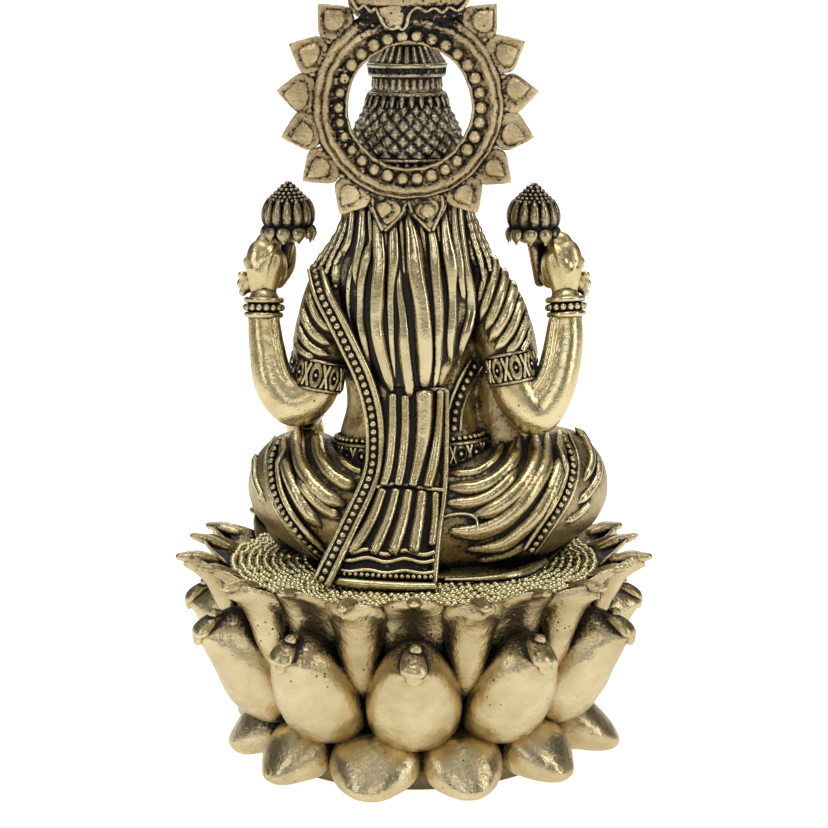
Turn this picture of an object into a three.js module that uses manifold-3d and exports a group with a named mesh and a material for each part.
// A small cast brass Lakshmi: the four-armed goddess sits cross-legged on a lotus plinth, a lotus bud in each raised
// hand, and a pierced halo of pointed rays stands behind her crown. Millimetres, +Z up, she faces -Y and her left is +X.
// The origin is the centre of the plinth's underside.
import * as THREE from "three";
import { mergeVertices } from "three/addons/utils/BufferGeometryUtils.js";
import Module from "manifold-3d";

const wasm = await Module();
wasm.setup();

// Driving dimensions of the lotus plinth. Its petals are drawn for a bed of 24.2 mm radius, 25 mm above the ground, and
// follow both sizes.
const seatHeight = 25; // top of the seed bed, where the figure sits
const bedRadius = 24.2; // seed bed, out to the innermost petals
const spread = bedRadius / 24.2;
const lift = seatHeight / 25;
const footRadius = bedRadius * 0.8; // flat underside
const neckRadius = bedRadius * 0.75; // where the core is narrowest, behind the drooping petals
const neckHeight = seatHeight * 0.216;
const cushionRadius = bedRadius * 0.68; // plain disc in the middle of the seed bed
const seedRings = 3;
const seedDepth = seatHeight * 0.028; // of the grooves between the rings
const rimReach = bedRadius * 0.16; // of the short petals that the rim of the bed is drawn out into
const rimRise = seatHeight * 0.04;
const petalCount = 11; // in each row and round the rim

// Driving dimension of the figure, from the seat to the tip of the crown. Its points are drawn 72 mm tall.
const figureHeight = 72;
const share = figureHeight / 72;

// Driving dimension of the halo, from its centre to the points of its rays. Its points are drawn 16.25 mm long.
const rayTip = 16.25;
const ray = rayTip / 16.25;
const rayCount = 17; // places round the rim, of which the crest covers crestPlaces
const crestPlaces = 3;
const haloHole = 7.65 * ray; // radius of the opening
const haloRim = 12.1 * ray; // radius of the ring's outer edge
const rayThickness = 1.4 * ray;
const ringThickness = 2.3 * ray;
const beadCount = 30;
const beadRadius = 1.02 * ray;
const crestRise = 9 * ray; // how far the crest stands above the ring
const crestHalfWidth = 7 * ray;
const haloFront = 6.5 * share; // plane where the halo meets the hair and the crown's lug
const haloCentre = { x: share, z: seatHeight + 60.3 * share };

const brass = (color, roughness) => new THREE.MeshStandardMaterial({ color, roughness, metalness: 1 });

// Moves each vertex of a plain geometry to place(x, y, z).
function shaped(geometry, place) {
  const position = geometry.attributes.position;
  for (let i = 0; i < position.count; i++)
    position.setXYZ(i, ...place(position.getX(i), position.getY(i), position.getZ(i)));
  return geometry;
}

// The row of numbers at share t of a smooth line through rows.
function along(rows, t) {
  const last = rows.length - 1;
  const i = Math.min(Math.floor(t * last), last - 1);
  const f = t * last - i;
  const row = (k) => rows[THREE.MathUtils.clamp(k, 0, last)];
  return rows[0].map((_, c) => {
    const [a, b, d, e] = [row(i - 1)[c], row(i)[c], row(i + 1)[c], row(i + 2)[c]];
    return b + 0.5 * f * (d - a + f * (2 * a - 5 * b + 4 * d - e + f * (3 * (b - d) + e - a)));
  });
}

// A closed geometry as a manifold solid. Merging leaves slivers with a repeated corner at the poles, which are dropped.
function solid(geometry) {
  const bare = geometry.clone();
  bare.deleteAttribute("normal");
  bare.deleteAttribute("uv");
  const merged = mergeVertices(bare, 1e-4);
  const corners = [];
  for (let i = 0; i < merged.index.count; i += 3) {
    const [a, b, c] = [0, 1, 2].map((k) => merged.index.getX(i + k));
    if (a !== b && b !== c && c !== a) corners.push(a, b, c);
  }
  const mesh = new wasm.Mesh({
    numProp: 3,
    vertProperties: merged.attributes.position.array,
    triVerts: new Uint32Array(corners),
  });
  return new wasm.Manifold(mesh);
}

const joined = (geometries) => geometries.map(solid).reduce((whole, next) => whole.add(next));

// Joining can seal small pockets inside. Each is a surface of its own, so only the largest surface is kept.
function outerSurface({ vertProperties, triVerts }) {
  const parent = Array.from({ length: vertProperties.length / 3 }, (_, i) => i);
  const root = (i) => (parent[i] === i ? i : (parent[i] = root(parent[i])));
  for (let i = 0; i < triVerts.length; i += 3)
    for (const k of [1, 2]) parent[root(triVerts[i + k])] = root(triVerts[i]);
  const sizes = new Map();
  for (const i of triVerts) sizes.set(root(i), (sizes.get(root(i)) ?? 0) + 1);
  const largest = [...sizes].reduce((a, b) => (b[1] > a[1] ? b : a))[0];
  return { vertProperties, triVerts: triVerts.filter((i) => root(i) === largest) };
}

function meshOf(name, made, material) {
  const { vertProperties, triVerts } = outerSurface(made.getMesh());
  const geometry = new THREE.BufferGeometry();
  geometry.setAttribute("position", new THREE.BufferAttribute(vertProperties, 3));
  geometry.setIndex(new THREE.BufferAttribute(triVerts, 1));
  geometry.computeVertexNormals();
  const mesh = new THREE.Mesh(geometry, material);
  mesh.name = name;
  return mesh;
}

// Lotus plinth

// A petal is a lobe whose poles are its root and its tip. Its lines run from root to tip: the belly below and the
// hollowed top above as [distance from the axis, height], and the half-widths.
const petalRows = [
  {
    belly: [[17, 5.4], [23.6, 6.6], [27.9, 10.6], [29.2, 15.6], [29.6, 18], [31.2, 18.6]],
    top: [[17, 9], [19.4, 14], [21.6, 18.8], [24.4, 22], [27.4, 21.9], [31.2, 19.2]],
    width: [[0], [4.9], [5.8], [5.5], [4], [0.4]],
    turn: 0,
    sides: 6,
    rows: 5,
  },
  {
    belly: [[16, 10], [22.6, 14.6], [25.4, 20.6], [26.8, 24.4], [29.1, 25.7]],
    top: [[16, 13], [18.6, 18.6], [21.6, 22.8], [25, 25.4], [28.8, 26.2]],
    width: [[0], [5], [5.3], [3.5], [0.3]],
    turn: 0.5,
    sides: 6,
    rows: 3,
  },
  {
    belly: [[15, 0], [20.4, 0], [23.2, 0], [24.6, 0.4], [25.4, 1.2]],
    top: [[15, 5], [19, 6.6], [22.2, 5.8], [24.2, 3.6], [25.5, 1.6]],
    width: [[0], [4.7], [5.1], [3.9], [0.5]],
    turn: 0.5,
    sides: 6,
    rows: 4,
  },
];

function petal({ belly, top, width, sides, rows }, angle) {
  const [cos, sin] = [Math.cos(angle), Math.sin(angle)];
  return shaped(new THREE.SphereGeometry(1, sides, rows), (a, b, c) => {
    const t = Math.acos(THREE.MathUtils.clamp(-b, -1, 1)) / Math.PI;
    const round = Math.hypot(a, c) || 1;
    const below = along(belly, t);
    const above = along(top, t);
    const height = 0.5 + (0.5 * c) / round;
    const across = (along(width, t)[0] * a * spread) / round;
    const out = THREE.MathUtils.lerp(below[0], above[0], height) * spread - (across * across) / (2 * bedRadius);
    const up = THREE.MathUtils.lerp(below[1], above[1], height) * lift;
    return [across * cos - out * sin, across * sin + out * cos, up];
  });
}

// The core has ring grooves between the seeds, and its rim is drawn out into short petals.
function plinthCore() {
  const pitch = (bedRadius - cushionRadius) / seedRings;
  const bed = [];
  for (let i = 0; i < seedRings - 1; i++) {
    const outer = bedRadius - i * pitch;
    bed.push([outer - pitch * 0.5, seatHeight], [outer - pitch, seatHeight - seedDepth]);
  }
  const profile = [
    [0, 0],
    [footRadius, 0],
    [neckRadius, neckHeight],
    [neckRadius * 1.05, seatHeight * 0.5],
    [bedRadius * 0.91, seatHeight * 0.84],
    [bedRadius, seatHeight - seedDepth],
    ...bed,
    [cushionRadius, seatHeight],
    [0, seatHeight],
  ];
  const lathe = new THREE.LatheGeometry(profile.map(([r, z]) => new THREE.Vector2(r, z)), 2 * petalCount);
  return shaped(lathe.rotateX(Math.PI / 2), (x, y, z) => {
    const onRim = z > seatHeight * 0.9 && Math.hypot(x, y) > bedRadius * 0.99;
    const tip = onRim ? Math.max(0, Math.cos(petalCount * Math.atan2(x, y))) : 0;
    const scale = 1 + (tip * rimReach) / bedRadius;
    return [x * scale, y * scale, z + tip * rimRise];
  });
}

function plinth() {
  const pitch = (2 * Math.PI) / petalCount;
  const petals = petalRows.flatMap((row) =>
    Array.from({ length: petalCount }, (_, i) => petal(row, (i + row.turn) * pitch)),
  );
  return joined([plinthCore(), ...petals]);
}

// Figure

const at = (x, y, z) => [x * share, y * share, seatHeight + z * share];

function ball([x, y, z], [rx, ry, rz], sides = 8, rows = 6) {
  return shaped(new THREE.SphereGeometry(1, sides, rows).rotateX(Math.PI / 2), (a, b, c) =>
    at(x + a * rx, y + b * ry, z + c * rz),
  );
}

// The point at share t of a line through knots of [x, y, z, radius], then forward, across and through it by shares of
// the radius. Facing is the direction that through is nearest to.
function beside(knots, facing, t, forward, across, through) {
  const [x, y, z, radius] = along(knots, t);
  const ahead = new THREE.Vector3(...along(knots, Math.min(t + 0.02, 1)));
  const behind = new THREE.Vector3(...along(knots, Math.max(t - 0.02, 0)));
  const way = ahead.sub(behind).normalize();
  const broad = new THREE.Vector3().crossVectors(way, new THREE.Vector3(...facing)).normalize();
  const thin = new THREE.Vector3().crossVectors(broad, way);
  const point = new THREE.Vector3(x, y, z).addScaledVector(way, forward * radius);
  return point.addScaledVector(broad, across * radius).addScaledVector(thin, through * radius);
}

// A rod with round ends through knots of [x, y, z, radius]. Its outline is scaled by relief(angle).
function limb(knots, { sides = 8, steps = 4, cap = 1, flat = 1, facing = [0, 1, 0], relief = () => 1 } = {}) {
  return shaped(new THREE.CapsuleGeometry(1, 2, cap, sides, steps), (a, b, c) => {
    const straight = THREE.MathUtils.clamp(b, -1, 1);
    const scale = relief(Math.atan2(c, a));
    const point = beside(knots, facing, (straight + 1) / 2, 0.8 * (b - straight), a * scale, c * flat * scale);
    return at(...point.toArray());
  });
}

// A form turned about the line from one point to another, with a profile of [radius, share of the way].
function turned(profile, from, to, sides = 8) {
  const start = new THREE.Vector3(...at(...from));
  const way = new THREE.Vector3(...at(...to)).sub(start);
  const points = profile.map(([radius, t]) => new THREE.Vector2(radius * share, t * way.length()));
  const upright = new THREE.Vector3(0, 1, 0);
  const lathe = new THREE.LatheGeometry(points, sides);
  lathe.applyQuaternion(new THREE.Quaternion().setFromUnitVectors(upright, way.normalize()));
  return lathe.translate(...start.toArray());
}

// A body through level sections of [z, x, y, half-width, half-depth], whose outline is scaled by relief(angle).
function stack(sections, { sides = 12, relief = () => 1 } = {}) {
  return shaped(new THREE.CylinderGeometry(1, 1, 1, sides, sections.length - 1), (a, b, c) => {
    const [z, x, y, halfWidth, halfDepth] = along(sections, 0.5 - b);
    const scale = relief(Math.atan2(c, a));
    return at(x + a * halfWidth * scale, y - c * halfDepth * scale, z);
  });
}

// Grooves round an outline: it falls from 1 on each of count ridges to 1 - depth between them.
const flutes = (count, depth) => (angle) => 1 - depth * Math.abs(Math.sin((angle * count) / 2));

// Folds of cloth run along both thighs, which are crossed low in front.
const foldCount = 7;

function legs() {
  const folds = { sides: 2 * foldCount, steps: 3, cap: 2, relief: flutes(foldCount, 0.12) };
  const thighs = [
    limb([[3, 3.4, 6.2, 8.6], [9.8, 2.4, 7.8, 8], [14.6, -2.6, 9.2, 7.6]], folds),
    limb([[-3, 3.4, 6.2, 8.8], [-11.6, 2.6, 7.8, 8.4], [-18, -2.6, 9.4, 7.9]], folds),
  ];
  const shins = [
    limb([[14.6, -5, 4.6, 5.6], [6, -11.6, 4.2, 4.6], [-4, -14, 3.4, 3.2]], { steps: 3 }),
    limb([[-17, -5, 4.6, 5.6], [-8, -11.8, 5.2, 4.8], [4, -14, 7, 3.2]], { steps: 3 }),
  ];
  const feet = [
    limb([[3.4, -14, 7.6, 2.4], [8, -12.6, 9.4, 2.4], [11.6, -10.8, 10.6, 1.6]], { sides: 6, steps: 2, flat: 0.8 }),
    limb([[-3, -14, 3, 2.4], [-7, -15.2, 1.8, 2.1], [-10.6, -15.2, 1.4, 1.5]], { sides: 6, steps: 2 }),
  ];
  const lap = ball([-0.4, -4, 4], [12, 9, 6.5], 10, 6);
  return [ball([-0.4, 2.4, 6.4], [12, 10.6, 9.4], 12, 6), lap, ...thighs, ...shins, ...feet];
}

// The borders of the skirt run down over the knees and under the thighs at the back.
const skirtBorders = [
  [[-12, 12.8, 2.6, 0.9], [-17.2, 9.6, 6.4, 1], [-21.2, 5, 11.4, 1], [-20.4, 0.4, 16, 0.9]],
  [[9, 13.6, 1.6, 0.9], [13.6, 11, 4.8, 1], [17.4, 6.6, 10, 1], [17.4, 1.4, 15.4, 0.9]],
];

function torso() {
  const body = stack([
    [46, 0.7, -0.8, 3.4, 3.6],
    [41.8, 0.6, -0.2, 3.6, 3.6],
    [39.8, 0.6, 0.2, 7.2, 4.2],
    [36, 0.5, 0.4, 10.4, 5.8],
    [29, 0.4, 0.3, 10.2, 6.4],
    [22, 0.4, 0.5, 8.8, 6],
    [17, 0.4, 0.8, 9.4, 6.6],
    [9, 0, 1, 11, 8],
  ]);
  const bosom = [-1, 1].map((side) => ball([0.4 + side * 3.9, -4.2, 31.6], [3.8, 3.6, 3.6]));
  const belt = turned([[0, 0], [10.6, 0.15], [9.9, 0.9], [0, 1]], [0.2, 1, 13.6], [0.3, 0.8, 18.2], 12);
  return [body, ...bosom, belt];
}

function head() {
  const skull = ball([0.7, -2, 48.7], [6.3, 6.9, 7], 10, 8);
  const nose = limb([[0.7, -8.3, 50, 0.6], [0.7, -9, 47.3, 0.9]], { sides: 5, steps: 1 });
  const earrings = [-1, 1].map((side) => ball([0.7 + side * 6.5, -1.6, 45.2], [1.3, 1.4, 2], 6, 4));
  return [skull, nose, ...earrings];
}

// The crown rises from a band through a bell and a collar of leaves to a bud, whose lug holds the halo.
const crownAxis = [0.9, -2];
const crownTip = 71.8;

function crown() {
  const outline = [
    [crownTip, 0.5],
    [70.4, 1.7],
    [69, 1.3],
    [67.4, 3],
    [64.6, 5],
    [63.4, 4.4],
    [60.8, 4.5],
    [56.4, 6.7],
    [53, 7.5],
    [51, 7.2],
  ];
  const bell = stack(outline.map(([z, r]) => [z, ...crownAxis, r, r]), { sides: 14 });
  const lug = limb([[...crownAxis, 69, 1.2], [1.1, 8, 69.4, 1.6]], { sides: 6, steps: 1, facing: [0, 0, 1] });
  return [bell, lug];
}

// Loose hair falls over the back in long locks.
const lockCount = 18;
const hair = () =>
  stack(
    [
      [51.6, 0.7, 0.6, 7.2, 6.2],
      [45, 0.7, 1.8, 8.5, 5.8],
      [38, 0.7, 3, 9, 5.9],
      [31, 0.6, 4.4, 8.2, 5.2],
      [24.4, 0.4, 5.8, 4.8, 3.7],
    ],
    { sides: 2 * lockCount, relief: flutes(lockCount, 0.13) },
  );

// The sari crosses from the left shoulder to the middle of the back, and its pleated end hangs to the seat.
const sariBorder = [
  [11.6, 4.4, 38.2, 1],
  [9.4, 8, 30.6, 1],
  [5.9, 9.4, 22, 1],
  [6, 10.6, 14, 1],
  [8.4, 14.6, 6.6, 1],
  [12, 17.6, 1.2, 1],
];
const pleatCount = 4;

function sariEnd() {
  const edges = [
    [26, 5.6, -3.6, 8],
    [20, 5.4, -3.8, 8.4],
    [14, 5.6, -3.8, 9.8],
    [11, 6.4, -3.4, 11.6],
    [5, 9.6, -2.6, 15],
    [0, 12.4, -2.4, 17.8],
  ];
  const cloth = 3.4;
  return shaped(new THREE.BoxGeometry(1, 1, 1, 2 * pleatCount, 5, 1), (u, v, side) => {
    const [z, left, right, back] = along(edges, 0.5 - v);
    const pleat = 0.7 * Math.abs(Math.sin((u + 0.5) * pleatCount * Math.PI));
    const x = THREE.MathUtils.lerp(right, left, u + 0.5);
    return at(x, side > 0 ? back - cloth : back + pleat - (x - 2) * (x - 2) * 0.012, z);
  });
}

// One arm: a sleeve that ends in an armlet, the bare arm round the elbow to the wrist, and a bracelet.
function arm(shoulder, sleeve, bare) {
  const cuff = bare[0];
  const outline = [
    [0, -0.15],
    [sleeve, 0.1],
    [sleeve * 0.9, 0.76],
    [sleeve, 0.8],
    [sleeve * 0.96, 1],
    [0, 1.06],
  ];
  return [
    turned(outline, shoulder, cuff.slice(0, 3)),
    limb(bare, { sides: 7, steps: bare.length - 1, facing: [0.1, 1, 0.1] }),
  ];
}

// A hand in one piece, with grooves between the fingers and a thumb. Its spine runs from the wrist to the fingertips,
// as [x, y, z, half-width], and its back is towards facing.
const fingerCount = 4;

function hand(spine, facing, side) {
  const mitt = shaped(new THREE.BoxGeometry(2, 1, 2, 2 * fingerCount, 2, 1), (u, v, s) => {
    const t = v + 0.5;
    const ridge = t > 0.4 ? Math.abs(Math.sin(((u + 1) * fingerCount * Math.PI) / 2)) : 1 - 0.4 * u * u;
    const tip = t > 0.9;
    const depth = (tip ? 0.5 : 1) * (0.16 + 0.2 * ridge);
    return at(...beside(spine, facing, t, tip ? 0.3 * ridge : 0, u, s * depth).toArray());
  });
  const [x, y, z, width] = along(spine, 0.15);
  const thumb = limb(
    [
      [x, y, z, width * 0.4],
      [...beside(spine, facing, 0.3, 0, side * 1.2, -0.3).toArray(), width * 0.36],
      [...beside(spine, facing, 0.62, 0, side * 1.2, -0.8).toArray(), width * 0.26],
    ],
    { sides: 5, steps: 1 },
  );
  return [mitt, thumb];
}

const budPetals = 6;

// A lotus bud on its stem, over a collar of drooping leaves.
function lotusBud([x, y, z]) {
  const outline = [[6.9, 0.3], [5.6, 1.7], [4.8, 3], [3, 3.2], [1.9, 2.5], [1, 3.4], [-0.2, 2.6]];
  const sections = outline.map(([height, r]) => [z + height, x, y, r, r]);
  const bud = stack(sections, { sides: 2 * budPetals, relief: flutes(budPetals, 0.16) });
  const stem = limb([[x, y, z + 1, 1.1], [x - Math.sign(x) * 0.9, y - 0.8, z - 3, 1]], { sides: 5, steps: 1 });
  return [bud, stem];
}

function arms() {
  const left = [[11.8, 4.4, 26.2, 2.7], [13, 5.4, 22.6, 2.6], [15.6, 5.6, 21.4, 2.4], [18, 4.8, 24, 2.3], [19, 3.4, 28.6, 2.2], [19.4, 2.4, 32, 1.9], [19.4, 2, 33.6, 2.5]];
  const right = [[-12, 4.4, 26.8, 2.7], [-13.6, 5.4, 22.8, 2.6], [-16.2, 5.6, 20.9, 2.4], [-19.2, 4.8, 23.8, 2.3], [-19.9, 3.4, 28.8, 2.2], [-19.6, 2.4, 32.2, 1.9], [-19.5, 2, 33.8, 2.5]];
  const frontLeft = [[12.6, -2.2, 25.4, 2.6], [13.6, -2.6, 21.4, 2.5], [14.2, -5, 18.6, 2.3], [14.4, -8.6, 18, 1.9], [14.6, -10, 17.7, 2.4]];
  const frontRight = [[-12.2, -2.4, 25.6, 2.6], [-13.6, -3.6, 21.8, 2.5], [-13.4, -7, 22.6, 2.3], [-11.9, -9.8, 27.6, 1.9], [-11.6, -10.4, 29.2, 2.4]];
  return [
    arm([9.8, 1.6, 36.6], 3.7, left),
    arm([-9.8, 1.6, 37.2], 4.1, right),
    arm([9.4, -1.4, 35], 3.4, frontLeft),
    arm([-9.2, -1.4, 35.4], 3.4, frontRight),
    hand([[19.6, 2, 34, 1.9], [19.4, 2, 38, 2.6], [18, 0.6, 41.8, 2.4], [16, -2.2, 40.8, 2.1]], [0.3, 1, 0.1], 1),
    hand([[-19.4, 2, 34.2, 1.9], [-19, 2, 38, 2.6], [-17, 0.6, 41.8, 2.4], [-14.8, -2.2, 40.8, 2.1]], [-0.3, 1, 0.1], -1),
    hand([[14.6, -10, 17.6, 1.8], [14.8, -13, 16.2, 2.4], [15, -15.8, 13.4, 2.3], [15, -17.4, 10, 2]], [0, 0.6, -0.8], -1),
    hand([[-11.6, -10.4, 29.4, 1.8], [-11.4, -11, 32.6, 2.4], [-11.2, -11.4, 35.8, 2.3], [-11, -11.6, 38.6, 2]], [0, 1, 0.1], 1),
    lotusBud([16.2, -0.4, 42.3]),
    lotusBud([-14.9, -0.4, 42.3]),
  ].flat();
}

// Straight pleats fan out in the lap, between the crossed shins, from [y, z, width] to the seat.
const lapPleatCount = 3;

function lapPleats() {
  const fall = [[-10, 10.6, 3], [-15, 6.4, 6], [-17.8, -1, 9]];
  return shaped(new THREE.BoxGeometry(1, 1, 1, 2 * lapPleatCount, 2, 1), (u, v, side) => {
    const [y, z, width] = along(fall, 0.5 - v);
    const ridge = 0.9 * Math.abs(Math.sin((u + 0.5) * lapPleatCount * Math.PI));
    return at(0.2 + u * width, side > 0 ? y - ridge : y + 3, z);
  });
}

function figure() {
  const parts = [
    ...legs(),
    ...skirtBorders.map((line) => limb(line, { sides: 5, steps: 3 })),
    ...torso(),
    ...head(),
    ...crown(),
    hair(),
    limb(sariBorder, { sides: 5, steps: 8 }),
    sariEnd(),
    ...arms(),
    lapPleats(),
  ];
  const room = 2 * figureHeight;
  const underSeat = new THREE.BoxGeometry(room, room, room).translate(0, 0, seatHeight - room / 2);
  const behindHead = new THREE.BoxGeometry(room, room, 36 * share);
  behindHead.translate(0, haloFront + room / 2, haloCentre.z);
  return joined(parts).subtract(solid(underSeat)).subtract(solid(behindHead));
}

// Halo, drawn in its own plane about its centre and then stood up behind the crown

function haloRing() {
  const half = ringThickness / 2;
  const face = [
    [haloHole, half * 0.5],
    [haloHole * 1.27, half * 0.5],
    [haloHole * 1.38, half],
    [haloRim, half * 0.7],
  ];
  const profile = [...face.map(([r, z]) => [r, -z]), ...face.reverse(), [haloHole, -half * 0.5]];
  return new THREE.LatheGeometry(profile.map(([r, z]) => new THREE.Vector2(r, z)), 2 * rayCount);
}

function haloRays() {
  const pitch = (2 * Math.PI) / rayCount;
  const rays = [];
  for (let i = 0; i < rayCount - crestPlaces; i++) {
    const angle = (i + (crestPlaces + 1) / 2) * pitch;
    const halfWidth = (haloRim * pitch) / 1.83;
    const tooth = new THREE.Shape([
      new THREE.Vector2(-halfWidth * 0.94, haloRim * 0.93),
      new THREE.Vector2(halfWidth * 0.94, haloRim * 0.93),
      new THREE.Vector2(halfWidth, haloRim * 1.1),
      new THREE.Vector2(0, rayTip),
      new THREE.Vector2(-halfWidth, haloRim * 1.1),
    ]);
    const plate = new THREE.ExtrudeGeometry(tooth, { depth: rayThickness, bevelEnabled: false });
    rays.push(plate.translate(0, 0, -rayThickness / 2).rotateZ(-angle).rotateX(Math.PI / 2));
  }
  return rays;
}

function haloBeads() {
  const radius = haloHole + 1.35 * ray;
  return Array.from({ length: beadCount }, (_, i) => {
    const angle = ((i + 0.5) * 2 * Math.PI) / beadCount;
    return new THREE.OctahedronGeometry(beadRadius).translate(radius * Math.sin(angle), 0, radius * Math.cos(angle));
  });
}

// The crest is a plain leaf over the top of the ring, with a tongue down to the crown's lug.
function haloCrest() {
  const low = haloRim * 0.92;
  const tongue = haloHole + 1.2 * ray;
  const top = haloRim + crestRise;
  const shoulder = top - crestRise * 0.38;
  const leaf = new THREE.Shape();
  leaf.moveTo(-crestHalfWidth * 0.9, low);
  leaf.quadraticCurveTo(-crestHalfWidth * 0.34, low * 1.1, -crestHalfWidth * 0.2, tongue);
  leaf.lineTo(crestHalfWidth * 0.2, tongue);
  leaf.quadraticCurveTo(crestHalfWidth * 0.34, low * 1.1, crestHalfWidth * 0.9, low);
  leaf.lineTo(crestHalfWidth, low * 1.2);
  leaf.quadraticCurveTo(crestHalfWidth, shoulder - crestRise * 0.1, crestHalfWidth * 0.5, shoulder);
  leaf.quadraticCurveTo(crestHalfWidth * 0.14, top - crestRise * 0.26, 0, top);
  leaf.quadraticCurveTo(-crestHalfWidth * 0.14, top - crestRise * 0.26, -crestHalfWidth * 0.5, shoulder);
  leaf.quadraticCurveTo(-crestHalfWidth, shoulder - crestRise * 0.1, -crestHalfWidth, low * 1.2);
  leaf.closePath();
  const plate = new THREE.ExtrudeGeometry(leaf, { depth: ringThickness, bevelEnabled: false, curveSegments: 3 });
  return plate.translate(0, 0, -ringThickness / 2).rotateX(Math.PI / 2);
}

function halo() {
  const ring = haloRing();
  const made = joined([ring, ...haloRays(), ...haloBeads(), haloCrest()]);
  return made.translate([haloCentre.x, haloFront + ringThickness / 2, haloCentre.z]);
}

const lakshmi = new THREE.Group();
lakshmi.add(
  meshOf("lotus_plinth", plinth(), brass(0xb39a5e, 0.35)),
  meshOf("lakshmi_figure", figure(), brass(0xa58b4c, 0.3)),
  meshOf("halo", halo(), brass(0xb09860, 0.4)),
);

export default lakshmi;
